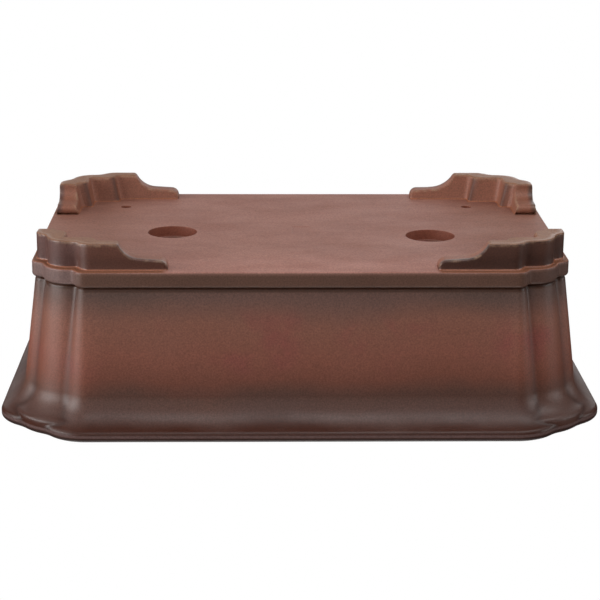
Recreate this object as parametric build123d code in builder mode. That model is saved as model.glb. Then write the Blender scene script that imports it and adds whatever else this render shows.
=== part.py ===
"""Bonsai pot with indented, lobed corners, luted together from clay slabs (millimetres).

Frame: +Z up, X along the pot's length, Y across it, origin on the table at the centre of the feet.

Every level of the body has the same plan: three rounded rectangles laid over each other.
  front : reaches the front and back faces, so its ends are the ends of the long panels
  side  : reaches the two end faces, so its ends are the ends of the short panels
  lobe  : lies inside both faces, so only its four round corners show, as the corner lobes
A level that stands out by d has all three rectangles grown by d, so the valleys between the
lobes and the panels lean outwards with the walls.
"""
import os
from math import cos, hypot, radians, sqrt, tan

from build123d import *

# Driving dimensions
base_length = 370.0
base_width = 236.0
foot_height = 18.5
slab_edge = 11.3
floor_thickness = 8.0
body_height = 112.0
rim_overhang = 25.0
lobe_overhang = 26.4
wall_thickness = 9.0
wall_draft = 7.4

# Plan of the body at the edge of the floor slab
panel_end_radius = 8.0
side_end_radius = 8.5
lobe_radius = 20.0
panel_end_inset = 39.5
side_end_inset = 36.0
lobe_inset = 8.5
inner_corner_radius = 9.0

# Section of the floor slab, the wall and the rim
slab_rounding = 2.5
wall_setback = 2.0
groove_depth = 1.2
groove_height = 1.0
floor_fillet = 6.0
flare_start = 102.5
inner_flare_start = 100.0
cavetto_radius = 25.5
cavetto_turn = 60.0
lip_rounding = 2.5
lip_top_width = 8.0

# Cloud feet: a wall of even thickness round each corner, with a low shelf at both its ends
foot_inset = 5.3
foot_side_inset = 3.2
foot_thickness = 12.5
foot_outer_radius = 8.0
foot_inner_radius = 3.0
long_sole = 60.0
long_wing = 93.5
short_sole = 47.5
short_wing = 68.5
shelf_height = 7.6
shelf_fall = 1.2
curve_share = 0.46
shelf_share = 0.85
sole_round = 1.0

# Holes and the blank seal recess. The drain holes are cut by hand, a little off the centre line.
drain_radius = 18.0
drain_centres = ((92.0, -6.0), (-95.0, -17.0))
wire_radius = 4.0
wire_centre = (131.5, 73.5)
seal_size = (14.0, 20.0)
seal_centre = (-2.0, 0.0)
seal_depth = 0.4

# Levels and half sizes
floor_top = foot_height + floor_thickness
slab_top = foot_height + slab_edge
rim_top = foot_height + body_height
wall_lean = tan(radians(wall_draft))
flare_offset = (flare_start - slab_top - groove_height) * wall_lean - wall_setback
half_length = base_length / 2
half_width = base_width / 2

# The rectangles of the plan, each as the centre of its corner round and the round's radius
front_block = (half_length - panel_end_inset, half_width - panel_end_radius, panel_end_radius)
side_block = (half_length - side_end_radius, half_width - side_end_inset, side_end_radius)
lobe_block = (half_length - lobe_inset - lobe_radius, half_width - lobe_inset - lobe_radius, lobe_radius)
blocks = (front_block, side_block, lobe_block)


def shrunk(block, distance, least_radius):
    """The same rounded rectangle with its faces moved in, its corner radius kept workable."""
    centre_x, centre_y, radius = block
    new_radius = max(radius - distance, least_radius)
    shift = distance - radius + new_radius
    return (centre_x - shift, centre_y - shift, new_radius)


def add_block(block, draw_edge, bottom, top):
    """Adds the solid whose plan is a rounded rectangle and whose edge has a drawn section.

    It is a plain middle, four straight edges and four quarter turns, which meet face to face."""
    centre_x, centre_y, radius = block
    with BuildSketch(Plane.XY.offset(bottom)) as middle:
        Rectangle(2 * centre_x, 2 * centre_y)
    extrude(middle.sketch, amount=top - bottom)
    for side, (along, across) in enumerate([(centre_x, centre_y), (centre_y, centre_x)] * 2):
        outward = Vector(0, -1, 0).rotate(Axis.Z, 90 * side)
        onward = Vector(1, 0, 0).rotate(Axis.Z, 90 * side)
        for place in (outward * across, outward * across + onward * along):
            with BuildSketch(Plane(origin=place, x_dir=outward, z_dir=-onward)) as edge:
                with BuildLine():
                    draw_edge(radius)
                make_face()
            if place == outward * across:
                extrude(edge.sketch, amount=along, both=True)
            else:
                revolve(edge.sketch, axis=Axis(place, (0, 0, 1)), revolution_arc=90)


def draw_slab_edge(reach):
    """Edge of the floor slab: square below, rounded above."""
    shoulder = slab_top - slab_rounding
    Polyline((0, slab_top), (0, foot_height), (reach, foot_height), (reach, shoulder))
    JernArc((reach, shoulder), (0, 1), slab_rounding, 90)
    Line((reach - slab_rounding, slab_top), (0, slab_top))


def draw_wall_edge(reach):
    """Outer face of the wall: a small groove over the slab, then a straight face leaning out."""
    face = reach - wall_setback
    Polyline(
        (0, slab_top),
        (face - groove_depth, slab_top),
        (face, slab_top + groove_height),
        (reach + flare_offset, flare_start),
        (0, flare_start),
        close=True,
    )


def draw_rim_edge(reach, overhang=rim_overhang):
    """Outer face of the rim: a hollow flare, a bead that turns upright, and a rounded arris."""
    turned = wall_draft + cavetto_turn
    spare = overhang - rim_overhang
    radius = cavetto_radius + spare / (cos(radians(wall_draft)) - cos(radians(turned)))
    flare = JernArc((reach + flare_offset, flare_start), (wall_lean, 1), radius, -cavetto_turn)
    bead_radius = (reach + overhang - (flare @ 1).X) / (1 - cos(radians(turned)))
    bead = JernArc(flare @ 1, flare % 1, bead_radius, turned)
    Line(bead @ 1, (reach + overhang, rim_top - lip_rounding))
    arris = JernArc((reach + overhang, rim_top - lip_rounding), (0, 1), lip_rounding, 90)
    Polyline(arris @ 1, (0, rim_top), (0, flare_start), flare @ 0)


def draw_lobe_rim_edge(reach):
    """The rim of a corner lobe flares a little further than the rim of a panel."""
    draw_rim_edge(reach, lobe_overhang)


def draw_cavity_edge(reach):
    """Inside of the pot: rounded at the floor, leaning out with the wall, flared under the rim."""
    floor = Line((0, floor_top), (reach - wall_setback - floor_fillet, floor_top))
    corner = JernArc(floor @ 1, (1, 0), floor_fillet, 90 - wall_draft)
    rise = inner_flare_start - (corner @ 1).Y
    wall = Line(corner @ 1, (corner @ 1) + Vector(rise * wall_lean, rise))
    mouth = reach + wall_thickness + rim_overhang - lip_rounding - lip_top_width
    flare = TangentArc(wall @ 1, (mouth, rim_top), tangent=wall % 1)
    Polyline(flare @ 1, (0, rim_top), (0, floor_top))


def seam_points(panel, base_valley):
    """Plan points on the upright seam that runs along the valley between a panel and a lobe.

    At the rim the valley is where the panel's end circle and the lobe's circle meet."""
    span = hypot(panel[0] - lobe_block[0], panel[1] - lobe_block[1])
    reach = lobe_block[2] + rim_overhang
    panel_reach = panel[2] + rim_overhang
    along = (reach**2 - panel_reach**2 + span**2) / (2 * span)
    across = sqrt(reach**2 - along**2)
    way = ((panel[0] - lobe_block[0]) / span, (panel[1] - lobe_block[1]) / span)
    turn = 1 if panel is front_block else -1
    valley_x = lobe_block[0] + way[0] * along + turn * way[1] * across
    valley_y = lobe_block[1] + way[1] * along - turn * way[0] * across
    step = (valley_x - base_valley[0], valley_y - base_valley[1])
    inner = (base_valley[0] - step[0], base_valley[1] - step[1])
    outer = (base_valley[0] + 2 * step[0], base_valley[1] + 2 * step[1])
    return inner, outer


front_seam = seam_points(front_block, (front_block[0] + front_block[2], lobe_block[1] + lobe_block[2]))
side_seam = seam_points(side_block, (lobe_block[0] + lobe_block[2], side_block[1] + side_block[2]))
far_corner = (front_seam[1][0] + side_seam[1][0], front_seam[1][1] + side_seam[1][1])


def flipped(points, sign_x, sign_y):
    return [(sign_x * x, sign_y * y) for x, y in points]


# Plan outline that cuts each piece out of a ring, seam to seam
sectors = {
    "front": flipped(front_seam, 1, -1) + flipped(reversed(front_seam), -1, -1),
    "back": flipped(front_seam, 1, 1) + flipped(reversed(front_seam), -1, 1),
    "right": flipped(side_seam, 1, 1) + flipped(reversed(side_seam), 1, -1),
    "left": flipped(side_seam, -1, 1) + flipped(reversed(side_seam), -1, -1),
}
corners = {
    "front_left": (-1, -1),
    "front_right": (1, -1),
    "back_left": (-1, 1),
    "back_right": (1, 1),
}
for corner_name, signs in corners.items():
    corner_plan = [front_seam[0], front_seam[1], far_corner, side_seam[1], side_seam[0]]
    sectors[corner_name] = flipped(corner_plan, *signs)


def write_piece(part, name):
    part.label = name
    export_step(part, f"parts/{name}.step")


def write_sectors(ring, panel_name, corner_name):
    """Cuts a ring along the eight seams and writes each piece."""
    for place, outline in sectors.items():
        with BuildSketch() as plan:
            with BuildLine():
                Polyline(*outline, close=True)
            make_face()
        with BuildPart() as piece:
            add(ring)
            extrude(plan.sketch, amount=rim_top, mode=Mode.INTERSECT)
        kind = corner_name if place in corners else panel_name
        write_piece(piece.part, f"{kind}_{place}")


os.makedirs("parts", exist_ok=True)

# The hollow inside the pot
inner_blocks = [shrunk(block, wall_thickness, inner_corner_radius) for block in blocks]
with BuildPart() as cavity:
    for block in inner_blocks:
        add_block(block, draw_cavity_edge, floor_top, rim_top)

# Floor slab: its edge shows as a band under the walls
with BuildPart() as floor_slab:
    for block in blocks:
        add_block(block, draw_slab_edge, foot_height, slab_top)
    add(cavity.part, mode=Mode.SUBTRACT)
    with Locations(*[(x, y, foot_height + floor_thickness / 2) for x, y in drain_centres]):
        Cylinder(drain_radius, 2 * floor_thickness, mode=Mode.SUBTRACT)
    with Locations((0, 0, foot_height + floor_thickness / 2)):
        with GridLocations(2 * wire_centre[0], 2 * wire_centre[1], 2, 2):
            Cylinder(wire_radius, 2 * floor_thickness, mode=Mode.SUBTRACT)
    with Locations((*seal_centre, foot_height)):
        Box(*seal_size, 2 * seal_depth, mode=Mode.SUBTRACT)
write_piece(floor_slab.part, "floor_slab")

# Walls: four panels and four corner lobes, seamed along the valleys
with BuildPart() as wall_ring:
    for block in blocks:
        add_block(block, draw_wall_edge, slab_top, flare_start)
    add(cavity.part, mode=Mode.SUBTRACT)
write_sectors(wall_ring.part, "wall", "corner_lobe")

# Rim: the flared strip on top of the walls, in the same eight lengths
with BuildPart() as rim_ring:
    for block in (front_block, side_block):
        add_block(block, draw_rim_edge, flare_start, rim_top)
    add_block(lobe_block, draw_lobe_rim_edge, flare_start, rim_top)
    add(cavity.part, mode=Mode.SUBTRACT)
write_sectors(rim_ring.part, "rim", "rim_lobe")


def wing_profile(plane, corner, sole_inset, wing_inset):
    """Side view of the feet: level sole at the corner, an ogee down to the shelf, a round end."""
    sole_end = corner - sole_inset
    run = wing_inset - sole_inset
    shelf_level = foot_height - shelf_height
    shelf_in = (sole_end - curve_share * run, shelf_level)
    shelf_out = (sole_end - shelf_share * run, shelf_level + shelf_fall)
    with BuildSketch(plane) as view:
        with BuildLine():
            Polyline((0, foot_height), (0, foot_height + 1), (2 * corner, foot_height + 1), (2 * corner, 0))
            Line((2 * corner, 0), (sole_end + 2 * sole_round, 0))
            Line((sole_end + 2 * sole_round, 0), (sole_end, sole_round))
            shelf = Line(shelf_in, shelf_out)
            TangentArc(shelf @ 0, (sole_end, sole_round), tangent=-(shelf % 0))
            TangentArc(shelf @ 1, (corner - wing_inset, foot_height), tangent=shelf % 1)
            Line((corner - wing_inset, foot_height), (0, foot_height))
        make_face()
        mirror(about=Plane.YZ)
    return view.sketch


# Feet: all four are cut from one wall that follows the base, then written one by one
with BuildPart() as feet:
    with BuildSketch():
        for centre_x, centre_y, radius in [shrunk(block, foot_inset, foot_outer_radius) for block in blocks]:
            reach_x = centre_x + radius + foot_inset - foot_side_inset
            RectangleRounded(2 * reach_x, 2 * (centre_y + radius), radius)
        foot_depth = foot_inset + foot_thickness
        for centre_x, centre_y, radius in [shrunk(block, foot_depth, foot_inner_radius) for block in blocks]:
            RectangleRounded(
                2 * (centre_x + radius), 2 * (centre_y + radius), radius, mode=Mode.SUBTRACT
            )
    extrude(amount=foot_height)
    long_view = wing_profile(Plane.XZ, half_length, long_sole, long_wing)
    extrude(long_view, amount=base_width, both=True, mode=Mode.INTERSECT)
    short_view = wing_profile(Plane.YZ, half_width, short_sole, short_wing)
    extrude(short_view, amount=base_length, both=True, mode=Mode.INTERSECT)

for place, (sign_x, sign_y) in corners.items():
    with BuildPart() as foot:
        add(feet.part)
        with Locations((sign_x * half_length, sign_y * half_width, foot_height / 2)):
            Box(base_length, base_width, foot_height, mode=Mode.INTERSECT)
    write_piece(foot.part, f"foot_{place}")
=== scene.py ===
import math

import bpy
import numpy as np
from mathutils import Matrix, Vector, noise
from mathutils.geometry import delaunay_2d_cdt, tessellate_polygon


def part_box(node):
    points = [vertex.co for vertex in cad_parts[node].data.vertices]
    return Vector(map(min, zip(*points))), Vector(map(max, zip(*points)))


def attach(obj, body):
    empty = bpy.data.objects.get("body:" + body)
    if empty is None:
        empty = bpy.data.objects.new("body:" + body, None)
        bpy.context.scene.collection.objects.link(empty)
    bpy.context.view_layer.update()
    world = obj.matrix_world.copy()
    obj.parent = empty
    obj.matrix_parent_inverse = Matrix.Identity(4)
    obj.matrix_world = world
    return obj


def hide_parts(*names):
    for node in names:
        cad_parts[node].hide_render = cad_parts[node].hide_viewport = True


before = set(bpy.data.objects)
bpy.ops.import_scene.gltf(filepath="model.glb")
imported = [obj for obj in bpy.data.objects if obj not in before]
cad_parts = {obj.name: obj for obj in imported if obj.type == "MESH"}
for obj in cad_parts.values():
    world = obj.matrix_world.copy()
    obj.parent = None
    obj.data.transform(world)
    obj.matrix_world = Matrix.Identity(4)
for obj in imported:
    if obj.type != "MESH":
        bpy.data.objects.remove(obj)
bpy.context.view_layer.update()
MM = 0.001

# Sizes in millimetres, as the CAD has them. The boxes of the CAD's nodes give the main ones.
slab_low, slab_high = [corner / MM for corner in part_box("floor_slab")]
RIM_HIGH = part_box("rim_right")[1] / MM
RIM_LOBE_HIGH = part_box("rim_lobe_back_right")[1] / MM
FLARE_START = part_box("wall_front")[1].z / MM
HALF_LENGTH, HALF_WIDTH, SLAB_TOP = slab_high
PLATE = slab_low.z
RIM_TOP = RIM_HIGH.z
OVERHANG = RIM_HIGH.x - HALF_LENGTH
FLOOR_THICKNESS = 8.0
FLOOR_TOP = PLATE + FLOOR_THICKNESS
WALL_THICKNESS = 9.0
DRAFT = 7.4  # degrees that the walls lean out
LEAN = math.tan(math.radians(DRAFT))
SETBACK = 2.0  # from the slab's edge in to the foot of the wall
GROOVE_DEPTH = 1.2
GROOVE_HEIGHT = 1.0
CAVETTO = 25.5  # radius of the hollow flare
TURN = 60.0  # degrees that it turns the wall out
LIP_ROUND = 2.5
LIP_WIDTH = 8.0
SLAB_ROUND = 2.5
PLATE_ROUND = 1.4
FLOOR_FILLET = 6.0
INNER_FLARE_START = 100.0
MOUTH = WALL_THICKNESS + OVERHANG - LIP_ROUND - LIP_WIDTH
FOOT_INSET = 5.3
FOOT_SIDE_GAIN = 2.1
FOOT_BASE_THICKNESS, FOOT_SOLE_THICKNESS = 14.0, 10.0
SHELF_HEIGHT = 7.6
LONG_SOLE, LONG_WING = 60.0, 93.5
SHORT_SOLE, SHORT_WING = 47.5, 68.5
DRAINS = ((92.0, -6.0), (-95.0, -17.0))
DRAIN_RADIUS = 18.0
WIRES = ((131.5, 73.5), (131.5, -73.5), (-131.5, -73.5), (-131.5, 73.5))
WIRE_RADIUS = 4.0
SEAL = (14.0, 20.0)
SEAL_CENTRE = (-2.0, 0.0)
SEAL_DEPTH = 0.4

# The plan is three rounded rectangles laid over each other: centre of the corner round, and its radius.
FRONT_ROUND, LOBE_ROUND, SIDE_ROUND = 8.0, 20.0, 8.5
FRONT_INSET, LOBE_INSET, SIDE_INSET = 39.5, LOBE_ROUND + 8.5, 36.0
FRONT = (HALF_LENGTH - FRONT_INSET, HALF_WIDTH - FRONT_ROUND, FRONT_ROUND)
LOBE = (HALF_LENGTH - LOBE_INSET, HALF_WIDTH - LOBE_INSET, LOBE_ROUND)
SIDE = (HALF_LENGTH - SIDE_ROUND, HALF_WIDTH - SIDE_INSET, SIDE_ROUND)
OUTER = (FRONT, LOBE, SIDE)
LOBE_OVERHANG = RIM_LOBE_HIGH.x - LOBE[0] - LOBE[2]


def shrunk(block, distance, least_radius):
    """A rounded rectangle with its faces moved in and its corner radius kept workable."""
    radius = max(block[2] - distance, least_radius)
    shift = distance - block[2] + radius
    return (block[0] - shift, block[1] - shift, radius)


INNER = tuple(shrunk(block, WALL_THICKNESS, 9.0) for block in OUTER)
foot_blocks = [shrunk(block, FOOT_INSET, 8.0) for block in OUTER]
FOOT_OUTER = tuple((x + FOOT_SIDE_GAIN, y, radius) for x, y, radius in foot_blocks)
FOOT_BASE = tuple(shrunk(block, FOOT_INSET + FOOT_BASE_THICKNESS, 3.0) for block in OUTER)
FOOT_SOLE = tuple(shrunk(block, FOOT_INSET + FOOT_SOLE_THICKNESS, 4.5) for block in OUTER)


# ---------------- levels of the lobed plan
def distance_to(block, point, grow):
    """Signed distance from a plan point to a rounded rectangle that has grown."""
    qx, qy = abs(point[0]) - block[0], abs(point[1]) - block[1]
    outside = math.hypot(max(qx, 0.0), max(qy, 0.0))
    return outside + min(max(qx, qy), 0.0) - block[2] - grow


def union_distance(blocks, grows, point, soft):
    """Distance to the three rectangles together, their valleys filleted."""
    result = distance_to(blocks[0], point, grows[0])
    for block, grow in zip(blocks[1:], grows[1:]):
        value = distance_to(block, point, grow)
        mix = max(soft - abs(result - value), 0.0) / soft
        result = min(result, value) - mix * mix * soft / 4
    return result


def settled(point, blocks, grows, soft):
    """The plan point moved out onto the filleted outline."""
    x, y = point
    step = 0.01
    for _ in range(5):
        here = union_distance(blocks, grows, (x, y), soft)
        slope_x = (union_distance(blocks, grows, (x + step, y), soft) - here) / step
        slope_y = (union_distance(blocks, grows, (x, y + step), soft) - here) / step
        size = slope_x**2 + slope_y**2
        if size < 1e-6 or abs(here) < 1e-5:
            break
        x -= here * slope_x / size
        y -= here * slope_y / size
    return (x, y)


def walk(block, grow, s):
    """Point on a grown rounded rectangle, s along it from where its corner round begins."""
    centre_x, centre_y, radius = block[0], block[1], block[2] + grow
    quarter = radius * math.pi / 2
    if s < 0:
        return (centre_x + s, centre_y + radius)
    if s < quarter:
        return (centre_x + radius * math.sin(s / radius), centre_y + radius * math.cos(s / radius))
    return (centre_x + radius, centre_y - (s - quarter))


def crossing(block, grow, other, other_grow, inside, outside):
    """Where the walk round one rectangle comes out of another one, found by halving."""
    for _ in range(40):
        middle = (inside + outside) / 2
        if distance_to(other, walk(block, grow, middle), other_grow) < 0:
            inside = middle
        else:
            outside = middle
    return (inside + outside) / 2


def crowded(count, where):
    """Places from 0 to 1, closer together at the start, the end, or both."""
    t = np.linspace(0, 1, count)
    curve = {
        "start": 1 - np.cos(math.pi * t / 2),
        "end": np.sin(math.pi * t / 2),
        "both": (1 - np.cos(math.pi * t)) / 2,
    }[where]
    return 0.3 * t + 0.7 * curve


def meetings(blocks, grows):
    """Places along the walks: the front's end, the lobe's start, the lobe's end and the side's start."""
    front, lobe, side = blocks
    g_front, g_lobe, g_side = grows
    front_quarter = (front[2] + g_front) * math.pi / 2
    lobe_middle = (lobe[2] + g_lobe) * math.pi / 4
    side_quarter = (side[2] + g_side) * math.pi / 2
    # Each search starts from a place well inside the other rectangle and one outside it.
    return (
        crossing(front, g_front, lobe, g_lobe, front_quarter + 15, 0.0),
        crossing(lobe, g_lobe, front, g_front, -60.0, lobe_middle),
        crossing(lobe, g_lobe, side, g_side, 2 * lobe_middle + 60, lobe_middle),
        crossing(side, g_side, lobe, g_lobe, -15.0, side_quarter),
    )


def stretch(block, grow, start, end, shares):
    """Points of the walk round a rectangle between two places."""
    return [walk(block, grow, start + (end - start) * t) for t in shares]


def corner_run(blocks, grows, soft, front_places, side_places, counts):
    """Plan points from the front, round the lobe, to the side. The places are along the walks."""
    front, lobe, side = blocks
    g_front, g_lobe, g_side = grows
    front_end, lobe_start, lobe_end, side_start = meetings(blocks, grows)
    points = [walk(front, g_front, s) for s in front_places]
    points += stretch(front, g_front, front_places[-1], front_end, crowded(counts[0], "end")[1:])
    points += stretch(lobe, g_lobe, lobe_start, lobe_end, crowded(counts[1], "both")[1:])
    points += stretch(side, g_side, side_start, side_places[0], crowded(counts[0], "start")[1:-1])
    points += [walk(side, g_side, s) for s in side_places]
    return [settled(p, blocks, grows, soft) for p in points]


FRONT_POINTS, SIDE_POINTS = 41, 29
PANEL_POINTS, LOBE_POINTS = 24, 50
# Columns of the two valleys and of the end of the quarter
FIRST = FRONT_POINTS - 1 + PANEL_POINTS - 1
SECOND = FIRST + LOBE_POINTS - 1
QUARTER = SECOND + PANEL_POINTS - 1 + SIDE_POINTS - 1


def ring(blocks, grows, z, soft):
    """One closed level of the body, clockwise from the middle of the back."""
    front, _, side = blocks
    front_places = np.linspace(-front[0], 0, FRONT_POINTS)
    side_end = (side[2] + grows[2]) * math.pi / 2
    side_places = np.linspace(side_end, side_end + side[1], SIDE_POINTS)
    quarter = corner_run(blocks, grows, soft, front_places, side_places, (PANEL_POINTS, LOBE_POINTS))
    plan = quarter + [(x, -y) for x, y in reversed(quarter[:-1])]
    plan += [(-x, -y) for x, y in quarter[1:]]
    plan += [(-x, y) for x, y in reversed(quarter[1:-1])]
    return [(x, y, z) for x, y in plan]


# ---------------- upright sections
def arc(centre, radius, start, end, count):
    """Points (out, z) on a circle, between two angles in degrees from the outward direction."""
    return [
        (centre[0] + radius * math.cos(a), centre[1] + radius * math.sin(a))
        for a in np.radians(np.linspace(start, end, count))
    ]


def tangent_arc(start, direction, end, count):
    """Points on the arc that leaves start in a direction and reaches end."""
    along = math.atan2(direction[1], direction[0])
    chord = (end[0] - start[0], end[1] - start[1])
    turn = (math.atan2(chord[1], chord[0]) - along + math.pi) % (2 * math.pi) - math.pi
    radius = math.hypot(*chord) / (2 * math.sin(turn))
    centre = (start[0] - radius * math.sin(along), start[1] + radius * math.cos(along))
    first = along - math.pi / 2
    return [
        (centre[0] + radius * math.cos(first + t), centre[1] + radius * math.sin(first + t))
        for t in np.linspace(0, 2 * turn, count)
    ]


WALL_FOOT = SLAB_TOP + GROOVE_HEIGHT
FLARE_OUT = (FLARE_START - WALL_FOOT) * LEAN - SETBACK


def rim_section(overhang):
    """Outer side of the rim below its arris: the hollow flare, the bead and a short upright."""
    draft, turned = math.radians(DRAFT), math.radians(DRAFT + TURN)
    radius = CAVETTO + (overhang - OVERHANG) / (math.cos(draft) - math.cos(turned))
    centre = (FLARE_OUT + radius * math.cos(draft), FLARE_START - radius * math.sin(draft))
    flare = arc(centre, radius, 180 - DRAFT, 180 - DRAFT - TURN, 25)
    bead = (overhang - flare[-1][0]) / (1 - math.cos(turned))
    middle = (overhang - bead, flare[-1][1] + bead * math.sin(turned))
    turned_up = arc(middle, bead, -(DRAFT + TURN), 0, 10)
    upright = RIM_TOP - LIP_ROUND
    return flare + turned_up[1:] + [(overhang, (turned_up[-1][1] + upright) / 2)]


# Levels up the outside of the wall and the rim, over the mouth and down the inside
wall_levels = [(-SETBACK - GROOVE_DEPTH, SLAB_TOP), (-SETBACK - 0.95, SLAB_TOP + 0.45)]
wall_levels += [(-SETBACK - 0.35, SLAB_TOP + 0.9), (-SETBACK + 0.02, SLAB_TOP + 1.6)]
for z in np.linspace(SLAB_TOP + 3.0, FLARE_START, 15):
    wall_levels.append(((z - WALL_FOOT) * LEAN - SETBACK, z))
rings = []


def add_level(blocks, grows, z, soft):
    """Adds the next level of the body."""
    rings.append(ring(blocks, grows, z, soft))


# Fillets in the valleys of the wall, of the rim and of the inside
SOFT_WALL = 4.0
SOFT_RIM = 2.6
SOFT_INNER = 4.0
for out, z in wall_levels:
    add_level(OUTER, (out,) * 3, z, SOFT_WALL)
outer_flare_level = len(rings) - 1
panel_rim = rim_section(OVERHANG)[1:]
lobe_rim = sorted((z, out) for out, z in rim_section(LOBE_OVERHANG))
for out, z in panel_rim:
    lobe_out = float(np.interp(z, [p[0] for p in lobe_rim], [p[1] for p in lobe_rim]))
    share = (z - FLARE_START) / (RIM_TOP - FLARE_START)
    add_level(OUTER, (out, lobe_out, out), z, SOFT_WALL + (SOFT_RIM - SOFT_WALL) * min(share * 2, 1))
for angle in np.radians(np.linspace(0, 90, 10)):
    inward = LIP_ROUND * (1 - math.cos(angle))
    z = RIM_TOP - LIP_ROUND * (1 - math.sin(angle))
    grows = (OVERHANG - inward, LOBE_OVERHANG - inward, OVERHANG - inward)
    add_level(OUTER, grows, z, SOFT_RIM)
flat_in = LIP_ROUND + 1.2
add_level(OUTER, (OVERHANG - flat_in, LOBE_OVERHANG - flat_in, OVERHANG - flat_in), RIM_TOP, SOFT_RIM)

# The inside, measured from the inner rectangles
fillet_centre = (-SETBACK - FLOOR_FILLET, FLOOR_TOP + FLOOR_FILLET)
fillet = arc(fillet_centre, FLOOR_FILLET, -90, -DRAFT, 12)
wall_inner_out = fillet[-1][0] + (INNER_FLARE_START - fillet[-1][1]) * LEAN
inner_flare = tangent_arc((wall_inner_out, INNER_FLARE_START), (LEAN, 1.0), (MOUTH, RIM_TOP), 14)
flare_z = [p[1] for p in inner_flare]
flare_out = [p[0] for p in inner_flare]


def inner_out(z):
    """How far out the inside of the pot is at a level above the floor fillet."""
    if z > INNER_FLARE_START:
        return float(np.interp(z, flare_z, flare_out))
    return fillet[-1][0] + (z - fillet[-1][1]) * LEAN


MOUTH_ROUND = 2.2
LEVEL_GAP = 0.8
mouth_low = RIM_TOP - MOUTH_ROUND
mouth_out = inner_out(mouth_low)
add_level(INNER, (MOUTH + 3.4,) * 3, RIM_TOP, SOFT_INNER)
mouth_curve = tangent_arc((MOUTH + 2.4, RIM_TOP), (-1, 0), (mouth_out, mouth_low), 8)
for out, z in mouth_curve:
    add_level(INNER, (out,) * 3, z, SOFT_INNER)
levels_down = [z for z in reversed(flare_z) if FLARE_START + LEVEL_GAP < z < mouth_low - LEVEL_GAP]
levels_down += [FLARE_START, INNER_FLARE_START]
for z in levels_down + list(np.linspace(INNER_FLARE_START, fillet[-1][1], 12))[1:]:
    add_level(INNER, (inner_out(z),) * 3, z, SOFT_INNER)
    if z == FLARE_START:
        inner_flare_level = len(rings) - 1
fillet_down = fillet[-2::-1]
slab_out = float(np.interp(SLAB_TOP, [p[1] for p in fillet], [p[0] for p in fillet]))
for out, z in [p for p in fillet_down if p[1] > SLAB_TOP + 0.15] + [(slab_out, SLAB_TOP)]:
    add_level(INNER, (out,) * 3, z, SOFT_INNER)
inner_slab_level = len(rings) - 1
fillet_end = (fillet_centre[0] - 1.5, FLOOR_TOP)
for out, z in [p for p in fillet_down if p[1] < SLAB_TOP - 0.15] + [fillet_end]:
    add_level(INNER, (out,) * 3, z, SOFT_INNER)
floor_level = len(rings) - 1

# The edge of the slab, from the underside to the groove
slab_section = [(-PLATE_ROUND - 1.2, PLATE)]
slab_section += arc((-PLATE_ROUND, PLATE + PLATE_ROUND), PLATE_ROUND, -90, 0, 7)
slab_section += [(0.0, z) for z in np.linspace(PLATE + PLATE_ROUND, SLAB_TOP - SLAB_ROUND, 5)[1:]]
slab_section += arc((-SLAB_ROUND, SLAB_TOP - SLAB_ROUND), SLAB_ROUND, 0, 90, 9)[1:]
slab_section += [(-SLAB_ROUND - 1.0, SLAB_TOP)]

COLUMNS = 4 * QUARTER
raw_body = np.array(rings)
raw_slab = np.array([ring(OUTER, (out,) * 3, z, SOFT_WALL) for out, z in slab_section])


# ---------------- hand-made unevenness
def uneven(points):
    """Points drawn in by a fraction of a millimetre, differently in each place, as a hand-pressed pot is.

    The pull is a share of the distance from the middle: one part changes slowly, one quickly."""
    result = np.array(points, float).reshape(-1, 3)
    for p in result:
        slow = noise.noise(Vector((p[0] / 95, p[1] / 95, p[2] / 140)))
        quick = noise.noise(Vector((p[0] / 31 + 7, p[1] / 31, p[2] / 24)))
        pull = 0.0016 * (0.5 + 0.5 * slow) + 0.0007 * (0.5 + 0.5 * quick)
        p[0] *= 1 - pull
        p[1] *= 1 - pull * 1.3
    return result.reshape(np.shape(points))


body = uneven(raw_body)
slab = uneven(raw_slab)


def grid_normals(grid, closed=True):
    """Unit normals of a grid of levels and columns, the same on both sides of a seam."""
    if closed:
        ahead, behind = np.roll(grid, -1, axis=1), np.roll(grid, 1, axis=1)
    else:
        ahead = np.concatenate([grid[:, 1:], grid[:, -1:]], axis=1)
        behind = np.concatenate([grid[:, :1], grid[:, :-1]], axis=1)

    def unit(vectors):
        """Vectors of length 1 the same way."""
        return vectors / np.maximum(np.linalg.norm(vectors, axis=2, keepdims=True), 1e-9)

    across = unit(unit(ahead - grid) + unit(grid - behind))
    up = np.concatenate([grid[1:], grid[-1:]]) - grid
    down = grid - np.concatenate([grid[:1], grid[:-1]])
    rise = unit(unit(up) + unit(down))
    return unit(np.cross(rise, across))


body_normals = grid_normals(body)
slab_normals = grid_normals(slab)


# ---------------- turning points into pieces
def added(name, data):
    """A new object in the scene."""
    thing = bpy.data.objects.new(name, data)
    bpy.context.scene.collection.objects.link(thing)
    return thing


def make_piece(name, slot, points, faces, normals, attributes):
    """A mesh object on the part's body. A face is (corners, smooth); smooth ones take the given normals."""
    mesh = bpy.data.meshes.new(name)
    mesh.from_pydata([tuple(p) for p in np.array(points) * MM], [], [f[0] for f in faces])
    mesh.polygons.foreach_set("use_smooth", [True] * len(faces))
    corner_normals = []
    for polygon, (_, smooth) in zip(mesh.polygons, faces):
        for corner in polygon.vertices:
            corner_normals.append(tuple(normals[corner] if smooth else polygon.normal))
    mesh.normals_split_custom_set(corner_normals)
    for key, values in attributes.items():
        layer = mesh.attributes.new(key, "FLOAT", "POINT")
        layer.data.foreach_set("value", np.array(values, np.float32))
    thing = added(name + "_shape", mesh)
    thing.data.materials.append(materials[slot])
    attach(thing, "root")
    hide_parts(name)


VALLEY_WIDTH = 3.2


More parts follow.
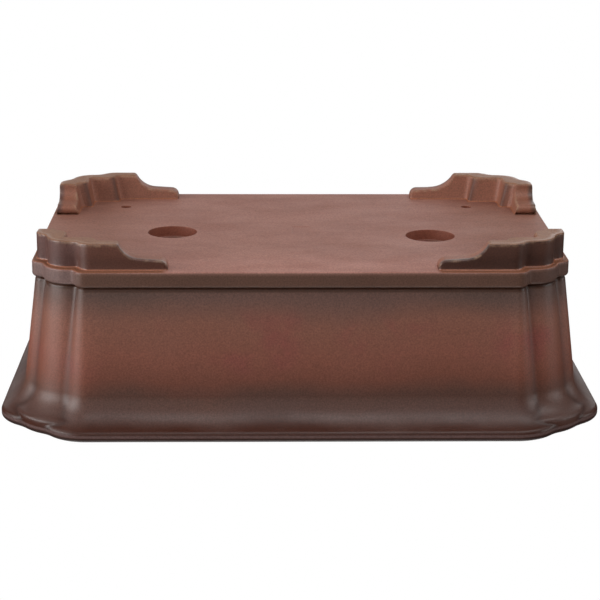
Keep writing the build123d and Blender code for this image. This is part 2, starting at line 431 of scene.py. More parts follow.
def valley_mark(grid, columns, level):
    """How near each column is to the valley between two parts of the wall, from 0 to 1."""
    row = grid[level]
    steps = np.linalg.norm(np.roll(row, -1, axis=0) - row, axis=1)
    walked = np.concatenate([[0], np.cumsum(steps)])
    total = walked[-1]
    marks = []
    for column in columns:
        place = walked[column % COLUMNS]
        gaps = [abs(place - walked[v]) for v in VALLEYS]
        gap = min(min(g, total - g) for g in gaps)
        marks.append(math.exp(-((gap / VALLEY_WIDTH) ** 1.3)))
    return marks


Q = QUARTER
# The columns that each length of the wall runs between, all eight ends being valleys
SPANS = {
    "back": (-FIRST, FIRST),
    "back_right": (FIRST, SECOND),
    "right": (SECOND, 2 * Q - SECOND),
    "front_right": (2 * Q - SECOND, 2 * Q - FIRST),
    "front": (2 * Q - FIRST, 2 * Q + FIRST),
    "front_left": (2 * Q + FIRST, 2 * Q + SECOND),
    "left": (2 * Q + SECOND, 4 * Q - SECOND),
    "back_left": (4 * Q - SECOND, 4 * Q - FIRST),
}
VALLEYS = [end for _, end in SPANS.values()]


def tube_faces(grid, smooth):
    """Faces round a closed section carried along a grid's columns, with a cap at both ends.

    smooth says for each row whether the faces after it are smooth."""
    rows, width = grid.shape[:2]
    faces = []
    for i in range(rows):
        j = (i + 1) % rows
        for c in range(width - 1):
            corners = [i * width + c, j * width + c, j * width + c + 1, i * width + c + 1]
            faces.append((corners, smooth[i]))
    for column, neighbour in ((0, 1), (width - 1, width - 2)):
        faces += [(corners, False) for corners in end_cap(grid, column, neighbour)]
    return faces


def ring_piece(name, slot, span, runs):
    """One length of the wall or the rim: a loop of levels carried along its columns."""
    columns = list(range(span[0], span[1] + 1))
    levels = [level for run in runs for level in run]
    picked = np.array(columns) % COLUMNS
    points = body[levels][:, picked]
    smooth = []
    for run in runs:
        smooth += [True] * (len(run) - 1) + [False]
    marks = []
    for level in levels:
        marks += valley_mark(body, columns, level)
    normals = body_normals[levels][:, picked].reshape(-1, 3)
    make_piece(name, slot, points.reshape(-1, 3), tube_faces(points, smooth), normals, {"valley": marks})


def end_cap(points, column, neighbour):
    """Triangles over one end of a run of sections, facing away from the neighbouring section."""
    section = points[:, column]
    centre = section[:, :2].mean(axis=0)
    furthest = section[np.argmax(np.linalg.norm(section[:, :2] - centre, axis=1)), :2]
    way = (furthest - centre) / np.linalg.norm(furthest - centre)
    flat = [Vector((float(np.dot(p[:2] - centre, way)), float(p[2]), 0)) for p in section]
    away = (section - points[:, neighbour]).mean(axis=0)
    width = points.shape[1]
    triangles = []
    for a, b, c in tessellate_polygon([flat]):
        facing = np.cross(section[b] - section[a], section[c] - section[a])
        corners = [k * width + column for k in (a, b, c)]
        triangles.append(corners if np.dot(facing, away) > 0 else corners[::-1])
    return triangles


# ---------------- the slab
HOLE_WOBBLE = 0.012


def circle(centre, radius, count, seed):
    """A hole cut by hand: a circle a little out of true."""
    points = []
    for a in np.linspace(0, 2 * math.pi, count, endpoint=False):
        wobble = noise.noise(Vector((2 * math.cos(a) + seed, 2 * math.sin(a), seed)))
        out = HOLE_WOBBLE * radius * (1 + wobble)
        points.append((centre[0] + (radius + out) * math.cos(a), centre[1] + (radius + out) * math.sin(a)))
    return points


def grown_circle(points, centre, by):
    """The same loop with each point moved away from the centre."""
    result = []
    for x, y in points:
        grown = 1 + by / math.hypot(x - centre[0], y - centre[1])
        result.append((centre[0] + (x - centre[0]) * grown, centre[1] + (y - centre[1]) * grown))
    return result


def within(loop, points):
    """Which points lie inside a closed plan loop."""
    ends = np.roll(loop, -1, axis=0)
    inside = np.zeros(len(points), bool)
    for (x1, y1), (x2, y2) in zip(loop, ends):
        if y1 == y2:
            continue
        spans = (y1 > points[:, 1]) != (y2 > points[:, 1])
        cut = x1 + (points[:, 1] - y1) * (x2 - x1) / (y2 - y1)
        inside ^= spans & (points[:, 0] < cut)
    return inside


def filled(outline, holes, spacing):
    """Triangles over a flat region with holes. Returns the extra plan points and the triangles.

    Corners are numbered through the outline, then each hole, then the extra points."""
    loops = [np.array(outline)] + [np.array(h) for h in holes]
    xs = np.arange(-HALF_LENGTH, HALF_LENGTH, spacing)
    ys = np.arange(-HALF_WIDTH, HALF_WIDTH, spacing)
    extra = np.array([(x + (spacing / 2 if j % 2 else 0), y) for j, y in enumerate(ys) for x in xs])
    keep = within(loops[0], extra)
    for loop in loops[1:]:
        keep &= ~within(loop, extra)
    extra = extra[keep]
    edge = np.concatenate(loops)
    gaps = np.array([np.min(np.linalg.norm(edge - p, axis=1)) for p in extra])
    extra = extra[gaps > spacing * 0.45]
    points = [Vector((float(x), float(y))) for x, y in np.concatenate([edge, extra])]
    edges, start = [], 0
    for loop in loops:
        n = len(loop)
        edges += [(start + i, start + (i + 1) % n) for i in range(n)]
        start += n
    made, _, triangles, origin, _, _ = delaunay_2d_cdt(points, edges, [], 0, 1e-6)
    source = [o[0] for o in origin]
    flat = np.array([(p.x, p.y) for p in made])
    centres = np.array([flat[list(t)].mean(axis=0) for t in triangles])
    good = within(loops[0], centres)
    for loop in loops[1:]:
        good &= ~within(loop, centres)
    kept = [[source[k] for k in t] for t, g in zip(triangles, good) if g]
    return extra, kept


def rounded_rectangle(size, radius, inset, per_corner):
    """Plan loop of a small rounded rectangle about the centre, counterclockwise."""
    half_x, half_y = size[0] / 2 - inset, size[1] / 2 - inset
    points = []
    for k, (sx, sy) in enumerate([(1, 1), (-1, 1), (-1, -1), (1, -1)]):
        for t in np.linspace(0, math.pi / 2, per_corner):
            angle = t + k * math.pi / 2
            x = sx * (half_x - radius) + radius * math.cos(angle)
            points.append((x, sy * (half_y - radius) + radius * math.sin(angle)))
    return points


# The ledge beside the feet, coloured by slip: where it begins on the long and short sides, and its depth
LEDGE_X, LEDGE_Y, LEDGE_FADE, LEDGE_DEPTH = 91.0, 49.0, 3.0, 30.0


def build_slab():
    """The floor slab with its band, its holes, the blank seal recess and the dished inner floor."""
    inner = raw_body[inner_slab_level : floor_level + 1]
    levels = np.concatenate([raw_slab, inner])
    count = len(levels)
    points = [tuple(p) for p in levels.reshape(-1, 3)]
    faces = []
    edge_marks, band_marks, ledge_marks = [], [], []
    for i in range(count):
        for x, y, z in levels[i]:
            beside_long = min(1.0, max(0.0, (abs(x) - LEDGE_X) / LEDGE_FADE))
            beside_long *= abs(y) > HALF_WIDTH - LEDGE_DEPTH
            beside_short = min(1.0, max(0.0, (abs(y) - LEDGE_Y) / LEDGE_FADE))
            beside_short *= abs(x) > HALF_LENGTH - LEDGE_DEPTH
            ledge_marks.append(max(beside_long, beside_short) if i <= 3 else 0.0)
        edge_marks += [1.0 if 2 <= i <= 6 else 0.0] * COLUMNS
        band_marks += [1.0 if 5 <= i < len(raw_slab) else 0.0] * COLUMNS
    for i in range(count - 1):
        for c in range(COLUMNS):
            d = (c + 1) % COLUMNS
            corners = [i * COLUMNS + c, (i + 1) * COLUMNS + c, (i + 1) * COLUMNS + d, i * COLUMNS + d]
            faces.append((corners, i != len(raw_slab) - 1))

    def join(starts, around):
        """Faces between loops of corners, each loop given by its first corner."""
        for low, high in zip(starts, starts[1:]):
            for a in range(around):
                b = (a + 1) % around
                faces.append(([low + a, high + a, high + b, low + b], True))

    plate_loops, floor_loops = [], []
    # Centre, radius, corners around, rounding of the arrises, seed
    holes = [(c, DRAIN_RADIUS - 0.4, 96, 0.4, 3.0 + k) for k, c in enumerate(DRAINS)]
    holes += [(c, WIRE_RADIUS, 36, 0.5, 9.0 + k) for k, c in enumerate(WIRES)]
    hole_marks = [0.0] * len(points)
    for centre, radius, around, softness, seed in holes:
        bore = circle(centre, radius, around, seed)
        section = [(softness + 0.9, PLATE)] + arc((softness, PLATE + softness), softness, 270, 180, 6)
        section += [(0.0, PLATE + 3.0), (0.0, FLOOR_TOP - 2.0)]
        section += arc((softness, FLOOR_TOP - softness), softness, 180, 90, 6)
        section += [(softness + 0.9, FLOOR_TOP)]
        starts = []
        for out, z in section:
            starts.append(len(points))
            points += [(x, y, z) for x, y in grown_circle(bore, centre, out)]
            edge_marks += [0.8 if z < PLATE + 2 and 0 < out < softness + 0.5 else 0.0] * around
            hole_marks += [1.0 if out == 0.0 else 0.0] * around
        join(starts, around)
        plate_loops.append((starts[0], around))
        floor_loops.append((starts[-1], around))

    # The recess's edge, as (inset, depth)
    seal_section = [(-0.5, 0.0), (0.0, 0.06), (0.45, SEAL_DEPTH - 0.06), (0.9, SEAL_DEPTH)]
    starts = []
    for inset, depth in seal_section:
        starts.append(len(points))
        loop = rounded_rectangle(SEAL, 2.4 - inset, inset, 8)
        points += [(x + SEAL_CENTRE[0], y + SEAL_CENTRE[1], PLATE + depth) for x, y in loop]
        edge_marks += [0.3] * len(loop)
    around = len(loop)
    join(starts, around)
    plate_loops.append((starts[0], around))

    def cover(outer, loops, level, spacing, up):
        """Fills the flat region between an outer loop and the hole loops."""
        outline = [points[k][:2] for k in range(outer[0], outer[0] + outer[1])]
        hole_plans = [[points[k][:2] for k in range(s, s + n)] for s, n in loops]
        extra, triangles = filled(outline, hole_plans, spacing)
        numbers = list(range(outer[0], outer[0] + outer[1]))
        for s, n in loops:
            numbers += range(s, s + n)
        numbers += range(len(points), len(points) + len(extra))
        for x, y in extra:
            points.append((float(x), float(y), level))
            edge_marks.append(0.0)
        for a, b, c in triangles:
            pa, pb, pc = [points[numbers[k]] for k in (a, b, c)]
            turn = (pb[0] - pa[0]) * (pc[1] - pa[1]) - (pb[1] - pa[1]) * (pc[0] - pa[0])
            corners = [numbers[a], numbers[b], numbers[c]]
            faces.append((corners if (turn > 0) == up else corners[::-1], True))

    cover((0, COLUMNS), plate_loops, PLATE, 9.0, False)
    cover(((count - 1) * COLUMNS, COLUMNS), floor_loops, FLOOR_TOP, 11.0, True)
    cover((starts[-1], around), [], PLATE + SEAL_DEPTH, 5.0, False)

    shape = uneven(points)
    normals = np.zeros((len(points), 3))
    for corners, smooth in faces:
        if smooth:
            a, b, c = shape[corners[0]], shape[corners[1]], shape[corners[2]]
            facing = np.cross(b - a, c - a)
            size = np.linalg.norm(facing)
            if size > 0:
                normals[corners] += facing / size
    grid_part = len(raw_slab) * COLUMNS
    normals[:grid_part] = slab_normals.reshape(-1, 3)
    inner_part = body_normals[inner_slab_level : floor_level + 1].reshape(-1, 3)
    normals[grid_part : grid_part + len(inner_part)] = inner_part
    for level, upright in ((PLATE, (0, 0, -1)), (FLOOR_TOP, (0, 0, 1))):
        normals[[k for k, p in enumerate(points) if abs(p[2] - level) < 1e-6]] = upright
    normals /= np.maximum(np.linalg.norm(normals, axis=1, keepdims=True), 1e-9)
    attributes = {"edge": edge_marks, "band": band_marks, "ledge": ledge_marks, "hole": hole_marks}
    attributes = {key: marks + [0.0] * (len(points) - len(marks)) for key, marks in attributes.items()}
    make_piece("floor_slab", "floor_clay", shape, faces, normals, attributes)


# ---------------- the feet
SOLE_ROUND = 1.3
SLIP = 0.75
FOOT_PANEL_POINTS, FOOT_LOBE_POINTS = 22, 40


def wing_stations(half, sole, wing, shelf_fall, tip_share):
    """Stations from a wing's tip to the level sole: (distance from the centre line, the foot's low level)."""
    run = wing - sole
    sole_end = half - sole
    shelf = PLATE - SHELF_HEIGHT
    shelf_in, shelf_out = sole_end - 0.46 * run, sole_end - (1 - tip_share) * run
    slope = (shelf_in - shelf_out, -shelf_fall)
    tip_end = (half - wing, PLATE - 0.15)
    tip = tangent_arc((shelf_out, shelf + shelf_fall), (-slope[0], -slope[1]), tip_end, 13)
    rise = tangent_arc((shelf_in, shelf), slope, (sole_end - 0.8, 1.7), 16)
    steepness = (rise[-1][0] - rise[-2][0], rise[-1][1] - rise[-2][1])
    flat = [(shelf_out + slope[0] * t, shelf + shelf_fall * (1 - t)) for t in np.linspace(0, 1, 7)[1:-1]]
    turn = tangent_arc(rise[-1], steepness, (sole_end + 2.2, 0.0), 8)[1:]
    turn = [(place, max(low, 0.0)) for place, low in turn]
    return tip[::-1] + flat + rise + turn + [(sole_end + 3.4, 0.0)]


def side_place(block, y):
    """How far along the walk round a rectangle its side reaches a level y."""
    centre_y, radius = block[1], block[2]
    if y >= centre_y:
        return radius * math.acos(min(1.0, (y - centre_y) / radius))
    return radius * math.pi / 2 + centre_y - y


def front_place(block, x):
    """How far along the walk round a rectangle its long side reaches a place x."""
    if x <= block[0]:
        return x - block[0]
    return block[2] * math.asin(min(1.0, (x - block[0]) / block[2]))


def foot_path(blocks, long_places, short_places, soft):
    """Plan points of one side of the back right foot, from its long wing to its short one."""
    front_places = [front_place(blocks[0], x) for x in long_places]
    side_places = [side_place(blocks[2], y) for y in short_places]
    counts = (FOOT_PANEL_POINTS, FOOT_LOBE_POINTS)
    return np.array(corner_run(blocks, (0, 0, 0), soft, front_places, side_places, counts))


def knocked(grid, seed):
    """A foot's points with its low edge a little wavy and its sole's arrises rubbed away in places."""
    points = grid.reshape(-1, 3).copy()
    for p in points:
        drift = noise.noise(Vector((p[0] / 14 + seed, p[1] / 14, 3.0)))
        if p[2] > 0.5:
            p[2] -= 0.4 * drift * min(1.0, (PLATE - p[2]) / 6) * min(1.0, p[2] / 6)
        ripple = noise.noise(Vector((p[0] / 5 + seed, p[1] / 5, 9.0)))
        rubbed = 0.3 * (0.5 + ripple) * max(0.0, 1 - abs(p[2] - 0.9) / 2.2)
        p[0] -= rubbed * np.sign(p[0])
        p[1] -= rubbed * np.sign(p[1])
    return points.reshape(grid.shape)


def build_foot(place, sign_x, sign_y, ridge_shift, longer_sole, longer_wing, seed):
    """One cloud foot: stations along the lobed corner, each a section with soft arrises.

    The outer face is upright and the inner one leans, so the foot is thinner at its sole."""
    long_side = wing_stations(HALF_LENGTH, LONG_SOLE + longer_sole, LONG_WING + longer_wing, 0.8, 0.15)
    short_side = wing_stations(HALF_WIDTH, SHORT_SOLE, SHORT_WING, 0.3, 0.07)[::-1]
    long_places = [p[0] for p in long_side]
    short_places = [p[0] for p in short_side]
    shifted = []
    for front, lobe, side_block in (FOOT_BASE, FOOT_SOLE):
        shifted.append(((front[0] + ridge_shift, front[1], front[2]), lobe, side_block))
    outer_base = foot_path(FOOT_OUTER, long_places, short_places, 4.0)
    outer_sole = foot_path(FOOT_OUTER, long_places, short_places, 9.0)
    inner_base = foot_path(shifted[0], long_places, short_places, 2.2)
    inner_sole = foot_path(shifted[1], long_places, short_places, 6.5)
    count = len(outer_base)
    lows = [p[1] for p in long_side] + [0.0] * (count - len(long_side) - len(short_side))
    lows += [p[1] for p in short_side]
    first_valley = len(long_side) + FOOT_PANEL_POINTS - 2
    valleys = [first_valley, first_valley + FOOT_LOBE_POINTS - 1]
    sections = []
    tip_long, tip_short = long_places[0], short_places[-1]
    for k in range(count):
        way = (inner_base[k] - outer_base[k]) / np.linalg.norm(inner_base[k] - outer_base[k])
        from_tip = min(abs(outer_base[k][0] - tip_long), abs(outer_base[k][1] - tip_short))
        draw_in = 1.6 * (1 - math.sqrt(1 - (1 - min(from_tip / 2.4, 1.0)) ** 2))
        height = PLATE - lows[k]
        soft = min(SOLE_ROUND, 0.42 * height)
        slip = min(SLIP, 0.3 * height)
        # Down one face, as (in from the face, level, edge mark): the slip's fillet, the face, the arris
        fillet_points = ((1.0, 0.0), (0.45, 0.3), (0.1, 0.8))
        side = [(-out * slip, PLATE - fall * slip, 0.0) for out, fall in fillet_points]
        side += [(0.0, PLATE - 1.6 * slip, 0.0), (0.0, PLATE - 0.45 * height, 0.0)]
        side += [(0.0, lows[k] + soft + 0.08 * height, 0.0)]
        for a in np.radians(np.linspace(0, 90, 7)):
            side.append((soft * (1 - math.cos(a)), lows[k] + soft * (1 - math.sin(a)), 1.0))
        side.append((soft + 0.04 * height + 0.1, lows[k], 0.3))

        def across(faces_out, w, z):
            """Plan point w in from the outer or the inner face at a level."""
            share = (PLATE - z) / PLATE
            if faces_out:
                return outer_base[k] + (outer_sole[k] - outer_base[k]) * share + way * (draw_in + w)
            return inner_base[k] + (inner_sole[k] - inner_base[k]) * share - way * (draw_in + w)

        gap = min(np.linalg.norm(inner_base[k] - inner_base[v]) for v in valleys)
        valley = math.exp(-((gap / 3.5) ** 1.5))
        # Each point of the section: x, y, level, then the edge, band and valley marks
        section = [(*across(True, w, z), z, m, 1.0, 0.0) for w, z, m in side]
        low_out, low_in = across(True, 2.2, lows[k]), across(False, 2.2, lows[k])
        for t in (0.25, 0.5, 0.75):
            section.append((*(low_out + (low_in - low_out) * t), lows[k], 0.0, 0.0, 0.0))
        section += [(*across(False, w, z), z, m, 0.0, valley) for w, z, m in reversed(side)]
        sections.append(section[::-1])
    rows = np.array(sections).transpose(1, 0, 2)
    if sign_x * sign_y < 0:
        rows = rows[:, ::-1]
    grid = rows[:, :, :3] * (sign_x, sign_y, 1)
    attributes = {key: rows[:, :, 3 + k].reshape(-1) for k, key in enumerate(("edge", "band", "valley"))}
    grid = uneven(grid if seed is None else knocked(grid, seed))
    faces = tube_faces(grid, [True] * (len(grid) - 1) + [False])
    normals = grid_normals(grid, closed=False).reshape(-1, 3)
    make_piece(f"foot_{place}", "foot_clay", grid.reshape(-1, 3), faces, normals, attributes)


# ---------------- clay
def put(tree, kind, inputs=None, **settings):
    """Adds a shader node. An input is a constant, or another node's socket to link from."""
    made = tree.nodes.new(kind)
    for key, value in settings.items():
        setattr(made, key, value)
    for key, value in (inputs or {}).items():
        if isinstance(value, bpy.types.NodeSocket):
            tree.links.new(value, made.inputs[key])
        else:
            made.inputs[key].default_value = value
    return made


def empty_tree(owner):
    """The cleared node tree of a material or a world."""
    owner.use_nodes = True
    owner.node_tree.nodes.clear()
    return owner.node_tree


def mixed(tree, share, first, second):
    """Two shader nodes mixed."""
    return put(tree, "ShaderNodeMixShader", {0: share, 1: first.outputs[0], 2: second.outputs[0]})


def ramp(tree, value, stops):
    """Colour ramp over stops of (place, screen colour)."""
    made = put(tree, "ShaderNodeValToRGB", {"Fac": value})
    elements = made.color_ramp.elements
    while len(elements) < len(stops):
        elements.new(0.5)
    for element, (place, colour) in zip(elements, stops):
        element.position = place
        element.color = (*linear(*colour), 1.0)
    return made.outputs["Color"]


def blend(tree, share, first, second, how="MIX"):
    """A share of the second colour mixed into the first, or multiplied with it."""
    ends = [end if isinstance(end, bpy.types.NodeSocket) else (*end, 1.0) for end in (first, second)]
    inputs = {0: share, 6: ends[0], 7: ends[1]}
    return put(tree, "ShaderNodeMix", inputs, data_type="RGBA", blend_type=how).outputs[2]


def tinted(tree, base, share, factors):
    """A colour multiplied by three factors, as far as share says."""
    return blend(tree, share, base, factors, "MULTIPLY")


def number(tree, how, *values):
    """One step of arithmetic on sockets or numbers."""
    return put(tree, "ShaderNodeMath", dict(enumerate(values)), operation=how).outputs[0]


def times(tree, first, second):
    """Product of two sockets or numbers."""
    return number(tree, "MULTIPLY", first, second)


def mapped(tree, value, low, high, to_low=0.0, to_high=1.0, way="LINEAR"):
    """A value carried from one range to another and held at its ends."""
    inputs = {"Value": value, "From Min": low, "From Max": high, "To Min": to_low, "To Max": to_high}
    return put(tree, "ShaderNodeMapRange", inputs, interpolation_type=way).outputs["Result"]


def spread(tree, value, low, high):
    """0 before low, 1 past high and smooth between."""
    return mapped(tree, value, low, high, way="SMOOTHSTEP")


def noise_of(tree, coordinates, scale, detail=3.0, roughness=0.55):
    """Noise from 0 to 1, with scale lumps to the metre."""
    inputs = {"Vector": coordinates, "Scale": scale, "Detail": detail, "Roughness": roughness}
    return put(tree, "ShaderNodeTexNoise", inputs).outputs["Fac"]


def axis(tree, place, letter):
    """One coordinate of a place."""
    return put(tree, "ShaderNodeSeparateXYZ", {"Vector": place}).outputs[letter]


def mark(tree, name):
    """One of the marks that the mesh carries."""
    return put(tree, "ShaderNodeAttribute", attribute_name=name, attribute_type="GEOMETRY").outputs["Fac"]


def linear(red, green, blue):
    """A screen colour, 0 to 255, as linear light."""
    values = []
    for value in (red, green, blue):
        share = value / 255
        values.append(share / 12.92 if share <= 0.04045 else ((share + 0.055) / 1.055) ** 2.4)
    return tuple(values)


def grey(tree, value):
    """A colour of three equal parts."""
    parts = {"Red": value, "Green": value, "Blue": value}
    return put(tree, "ShaderNodeCombineColor", parts).outputs["Color"]


def clay(name, colour_of, roughness, sheen, grain, has_band=False):
    """Unglazed stoneware. colour_of makes the colour socket from the tree, the height and the coordinates.

    Where a piece has a burnished band beside plain clay, the band is smoother and shines more."""
    material = bpy.data.materials.new(name)
    tree = empty_tree(material)
    place = put(tree, "ShaderNodeTexCoord").outputs["Object"]
    height = times(tree, axis(tree, place, "Z"), 1 / MM)
    colour = colour_of(tree, height, place)
    speck = mapped(tree, noise_of(tree, place, 950.0, 2.0), 0.3, 0.7, 0.78, 1.22)
    colour = tinted(tree, colour, 1.0, grey(tree, speck))
    fine = noise_of(tree, place, 900.0, 4.0, 0.6)
    broad = noise_of(tree, place, 60.0, 2.0)
    relief = number(tree, "ADD", times(tree, fine, grain), times(tree, broad, 1.2))
    bump = put(tree, "ShaderNodeBump", {"Strength": 0.5, "Distance": 0.0003, "Height": relief})
    rough = mapped(tree, noise_of(tree, place, 35.0, 3.0), 0.3, 0.7, roughness - 0.05, roughness + 0.05)
    gloss = sheen
    if has_band:
        band = mark(tree, "band")
        rough = number(tree, "SUBTRACT", rough, times(tree, band, 0.17))
        gloss = number(tree, "ADD", times(tree, band, 0.2), sheen)
    inputs = {"Base Color": colour, "Roughness": rough, "Specular IOR Level": gloss}
    inputs["Normal"] = bump.outputs["Normal"]
    surface = put(tree, "ShaderNodeBsdfPrincipled", inputs)
    put(tree, "ShaderNodeOutputMaterial", {"Surface": surface.outputs["BSDF"]})
    return material


def wall_colour(tree, height, place):
    """Burnished wall: grey-brown where the smoke caught it over the slab and under the rim, red between.
    Painted sheen, a painted highlight and painted shade are laid over it.

    Here and below, heights are in millimetres and places in metres."""
    drift = noise_of(tree, place, 14.0, 3.0)
    shifted = number(tree, "ADD", height, mapped(tree, drift, 0.3, 0.7, -5.0, 5.0))
    base = ramp(
        tree,
        mapped(tree, shifted, 25.0, 135.0),
        [
            (0.00, (89, 65, 58)),
            (0.12, (103, 74, 65)),
            (0.28, (125, 81, 66)),
            (0.48, (127, 77, 62)),
            (0.62, (118, 70, 55)),
            (0.72, (96, 64, 53)),
            (0.84, (88, 62, 55)),
            (0.9, (66, 32, 20)),
        ],
    )
    patches = spread(tree, noise_of(tree, place, 21.0, 4.0), 0.5, 0.68)
    between = times(tree, spread(tree, height, 40.0, 60.0), spread(tree, height, 98.0, 75.0))
    patches = times(tree, times(tree, patches, between), 0.75)
    base = blend(tree, patches, base, linear(128, 68, 62))
    beside = number(tree, "ABSOLUTE", axis(tree, place, "X"))
    # Painted sheen: the end lobes are lighter below 100 to 118 mm.
    lobe_painted_sheen = times(tree, spread(tree, beside, 0.132, 0.152), spread(tree, height, 118.0, 100.0))
    base = tinted(tree, base, lobe_painted_sheen, (1.2, 1.2, 1.22))
    # Darker and greyer low on the wall towards both ends.
    low_side_darkening = times(tree, spread(tree, beside, 0.06, 0.12), spread(tree, height, 52.0, 34.0))
    base = tinted(tree, base, low_side_darkening, (0.76, 0.83, 0.84))
    # Painted shade: darker in the valleys between the lengths of the wall and the rim.
    valley = times(tree, mark(tree, "valley"), 0.8)
    base = tinted(tree, base, valley, (0.55, 0.5, 0.48))
    # Painted highlight: a grey-violet band along the bead just under the lip.
    turned = times(tree, spread(tree, height, 124.9, 125.9), spread(tree, height, 127.8, 126.8))
    base = blend(tree, times(tree, turned, 0.55), base, linear(112, 92, 90))
    # Painted shade: the lip's outer face is dark.
    lip_painted_shade = spread(tree, height, 127.0, 128.2)
    base = blend(tree, lip_painted_shade, base, linear(50, 34, 30))
    # Painted shade: darker at the wall's foot, by the groove.
    groove = spread(tree, height, SLAB_TOP + 3.8, SLAB_TOP + 2.2)
    return blend(tree, groove, base, linear(72, 42, 28))


def burnished_brown(tree, height, place):
    """The slab's band."""
    base = blend(tree, noise_of(tree, place, 30.0, 3.0), linear(84, 59, 48), linear(97, 68, 56))
    # Painted sheen: the band's end lobes are lighter and greyer, strongly at +X and slightly at -X.
    along = axis(tree, place, "X")
    base = tinted(tree, base, spread(tree, along, 0.146, 0.158), (1.68, 2.12, 2.8))
    base = tinted(tree, base, spread(tree, along, -0.146, -0.158), (1.0, 1.08, 1.22))
    # Painted shade: the band's top darkens towards the groove.
    groove = spread(tree, height, SLAB_TOP - 1.9, SLAB_TOP - 0.3)
    return blend(tree, groove, base, linear(58, 34, 24))


def floor_colour(tree, height, place):
    """The underside is plain clay, orange with slip beside the feet and lighter towards the front with
    painted light; the band round it is burnished.
    """
    wiped = put(tree, "ShaderNodeMapping", {"Vector": place, "Scale": (0.45, 1.0, 1.0)}).outputs["Vector"]
    cloud = spread(tree, noise_of(tree, wiped, 42.0, 5.0, 0.62), 0.3, 0.7)
    plain = blend(tree, cloud, linear(146, 98, 85), linear(160, 113, 100))
    # Darker towards both ends of the underside.
    ends = spread(tree, number(tree, "ABSOLUTE", axis(tree, place, "X")), 0.09, 0.15)
    plain = tinted(tree, plain, ends, (0.82, 0.77, 0.7))
    # Painted light: the underside is lighter towards the front edge, at -Y.
    near = spread(tree, axis(tree, place, "Y"), -0.05, -0.11)
    plain = tinted(tree, plain, near, (1.2, 1.2, 1.22))
    plain = blend(tree, mark(tree, "ledge"), plain, linear(128, 80, 56))
    plain = blend(tree, times(tree, mark(tree, "hole"), 0.9), plain, linear(106, 52, 35))
    arris = spread(tree, height, PLATE + 0.1, PLATE + 3.2)
    arris = times(tree, mark(tree, "band"), mapped(tree, arris, 0.0, 1.0, 0.65, 1.0))
    return blend(tree, arris, plain, burnished_brown(tree, height, place))


def foot_colour(tree, height, place):
    """Burnished outer faces with painted light and sheen, plain inner ones with painted shade in the valleys,
    a worn pale sole and an orange slip line along the base.
    """
    plain = blend(tree, noise_of(tree, place, 24.0, 3.0), linear(131, 82, 63), linear(148, 94, 74))
    # Painted shade: the inner faces are darker in the valleys.
    plain = blend(tree, times(tree, mark(tree, "valley"), 0.75), plain, linear(70, 40, 31))
    burnished = blend(tree, noise_of(tree, place, 30.0, 3.0), linear(70, 43, 34), linear(86, 55, 45))
    # Painted light: the outer faces of the +X feet are lighter; painted sheen: their end lobes past 0.142 m
    # are greyer.
    beside = axis(tree, place, "X")
    burnished = tinted(tree, burnished, spread(tree, beside, -0.05, 0.05), (1.45, 1.36, 1.33))
    burnished = tinted(tree, burnished, spread(tree, beside, 0.142, 0.158), (1.03, 1.2, 1.5))
    base = blend(tree, mark(tree, "band"), plain, burnished)
    slip = spread(tree, height, PLATE - 1.2, PLATE - 0.5)
    base = blend(tree, slip, base, linear(142, 84, 56))
    worn = spread(tree, noise_of(tree, place, 160.0, 3.0), 0.4, 0.65)
    edge = times(tree, mark(tree, "edge"), times(tree, worn, 0.6))
    base = blend(tree, edge, base, linear(156, 122, 98))
    sole = spread(tree, height, 1.1, 0.3)
    scuffs = blend(tree, noise_of(tree, place, 220.0, 3.0), linear(116, 76, 54), linear(156, 111, 83))
    return blend(tree, sole, base, scuffs)


materials = {
    "wall_clay": clay("burnished wall clay", wall_colour, 0.45, 0.5, 0.6),
    "rim_clay": clay("burnished rim clay", wall_colour, 0.43, 0.42, 0.5),
    "floor_clay": clay("plain floor clay", floor_colour, 0.62, 0.3, 1.0, has_band=True),
    "foot_clay": clay("foot clay", foot_colour, 0.58, 0.45, 0.8, has_band=True),
}

# The wall's two faces, and the rim over it from where the flare starts outside to where it ends inside
wall_runs = [range(outer_flare_level + 1), range(inner_flare_level, inner_slab_level + 1)]
rim_runs = [range(outer_flare_level, inner_flare_level + 1)]
for place, span in SPANS.items():
    lobe = "_" in place
    ring_piece(f"corner_lobe_{place}" if lobe else f"wall_{place}", "wall_clay", span, wall_runs)
    ring_piece(f"rim_lobe_{place}" if lobe else f"rim_{place}", "rim_clay", span, rim_runs)
build_slab()
# Each foot's own small differences: ridge moved along, sole longer, wing longer, seed of its knocks
for place, sign_x, sign_y, *differences in (
    ("back_right", 1, 1, 3.5, -0.8, -1.0, None),
    ("front_right", 1, -1, 1.5, 1.2, 0.9, 4.0),
    ("front_left", -1, -1, 1.5, -0.6, -0.8, None),
    ("back_left", -1, 1, 0.5, 0.4, 1.3, 12.0),
):
    build_foot(place, sign_x, sign_y, *differences)

# ---------------- floor, light and camera
floor_mesh = bpy.data.meshes.new("studio_floor")
floor_mesh.from_pydata([(-4, -4, 0), (4, -4, 0), (4, 4, 0), (-4, 4, 0)], [], [(0, 1, 2, 3)])
floor = added("studio_floor", floor_mesh)
# Clear from below; from above, with a painted contact shadow darker beside the pot, and fading into white far
# from it
floor_material = bpy.data.materials.new("pale studio floor")
tree = empty_tree(floor_material)
facing = put(tree, "ShaderNodeNewGeometry").outputs["Backfacing"]
seen = put(tree, "ShaderNodeLightPath").outputs["Is Camera Ray"]
solid = times(tree, number(tree, "SUBTRACT", 1.0, facing), seen)
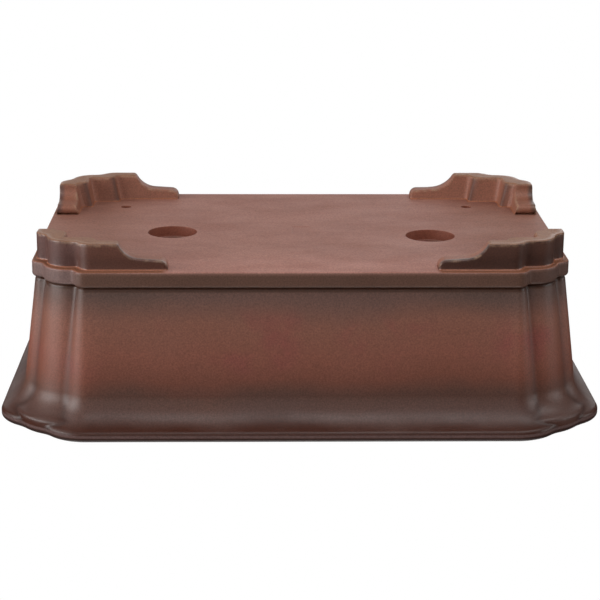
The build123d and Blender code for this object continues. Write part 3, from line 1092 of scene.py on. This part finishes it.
# Painted shadow: the floor's grey darkens towards the pot's footprint.
spot = put(tree, "ShaderNodeTexCoord").outputs["Object"]
squares = []
for letter, half in (("X", 0.15), ("Y", 0.085)):
    past = number(tree, "SUBTRACT", number(tree, "ABSOLUTE", axis(tree, spot, letter)), half)
    squares.append(number(tree, "POWER", number(tree, "MAXIMUM", past, 0.0), 2.0))
outside = number(tree, "SQRT", number(tree, "ADD", *squares))
shade = mapped(tree, spread(tree, outside, 0.015, 0.075), 0.0, 1.0, 0.12, 0.86)
pale = put(tree, "ShaderNodeBsdfDiffuse", {"Color": grey(tree, shade)})
white = put(tree, "ShaderNodeEmission", {"Color": (1.0, 1.0, 1.0, 1.0), "Strength": 1.0})
far = spread(tree, outside, 0.9, 3.6)
swept = mixed(tree, far, pale, white)
surface = mixed(tree, solid, put(tree, "ShaderNodeBsdfTransparent"), swept)
put(tree, "ShaderNodeOutputMaterial", {"Surface": surface.outputs[0]})
floor.data.materials.append(floor_material)

world = bpy.data.worlds.new("studio")
bpy.context.scene.world = world
tree = empty_tree(world)
seen = put(tree, "ShaderNodeLightPath").outputs["Is Camera Ray"]
white = put(tree, "ShaderNodeBackground", {"Color": (1, 1, 1, 1), "Strength": 1.0})
fill = put(tree, "ShaderNodeBackground", {"Color": (1.0, 0.98, 0.96, 1), "Strength": 0.03})
put(tree, "ShaderNodeOutputWorld", {"Surface": mixed(tree, seen, fill, white).outputs[0]})

# Large soft panels that all point at the middle of the pot and aren't seen themselves
CENTRE = Vector((0.0, 0.0, 0.065))
LIGHT_DISTANCE = 2.4
# Name, degrees round from the front towards +X, degrees below the horizon, size in metres, watts
PANELS = (
    ("window_side", 80, 12, (1.5, 0.85), 25.0),
    ("window_front", 58, 16, (1.4, 1.15), 22.0),
    ("flare_panel", -32, 63, (2.3, 0.6), 24.5),
    ("front_panel", 0, 16, (1.5, 0.7), 4.0),
    ("far_side_panel", -84, 12, (1.3, 0.85), 11.0),
    ("backdrop_right", 160, 18, (1.4, 1.3), 4.8),
    ("backdrop_left", -160, 18, (1.4, 1.3), 8.6),
    ("backdrop_low", 180, 50, (1.5, 0.7), 5.4),
    ("overhead_front", 0, -60, (1.5, 0.7), 27.0),
    ("flare_side", 92, 48, (0.9, 0.9), 4.0),
    ("flare_far_side", -95, 48, (0.9, 0.9), 4.5),
)
for name, round_by, below_by, size, watts in PANELS:
    turn, dip = math.radians(round_by), math.radians(below_by)
    towards = Vector((math.sin(turn) * math.cos(dip), -math.cos(turn) * math.cos(dip), -math.sin(dip)))
    panel = bpy.data.lights.new(name, "AREA")
    panel.shape = "RECTANGLE"
    panel.size, panel.size_y = size
    panel.energy = watts
    lamp = added(name, panel)
    lamp.location = CENTRE + towards * LIGHT_DISTANCE
    lamp.rotation_euler = (-towards).to_track_quat("-Z", "Y").to_euler()
    lamp.visible_camera = False
    lamp.visible_glossy = name != "overhead_front"  # it would draw a bright line along the slab

# Soft light straight down, which fills the inside and the floor
ceiling = bpy.data.lights.new("ceiling", "SUN")
ceiling.energy = 1.7
ceiling.angle = math.radians(60)
added("ceiling", ceiling)

scene = bpy.context.scene
camera_data = bpy.data.cameras.new("camera")
camera = added("camera", camera_data)
scene.camera = camera
camera_data.sensor_width = 36.0
camera_data.lens = 106.3
camera_data.shift_x = 0.0082
camera_data.shift_y = -0.0031
camera_data.clip_start = 0.05
# The camera looks up from below the feet, and its up is the pot's down. Angles in radians.
CAMERA_PLACE = (0.0289, -1.2598, -0.2975)
YAW, ELEVATION, ROLL = 0.0211, 0.2843, 0.0051
tilt = Matrix.Rotation(math.pi / 2 + ELEVATION, 4, "X") @ Matrix.Rotation(math.pi + ROLL, 4, "Z")
camera.matrix_world = Matrix.Translation(CAMERA_PLACE) @ Matrix.Rotation(YAW, 4, "Z") @ tilt

scene.view_settings.view_transform = "Standard"
scene.view_settings.look = "None"
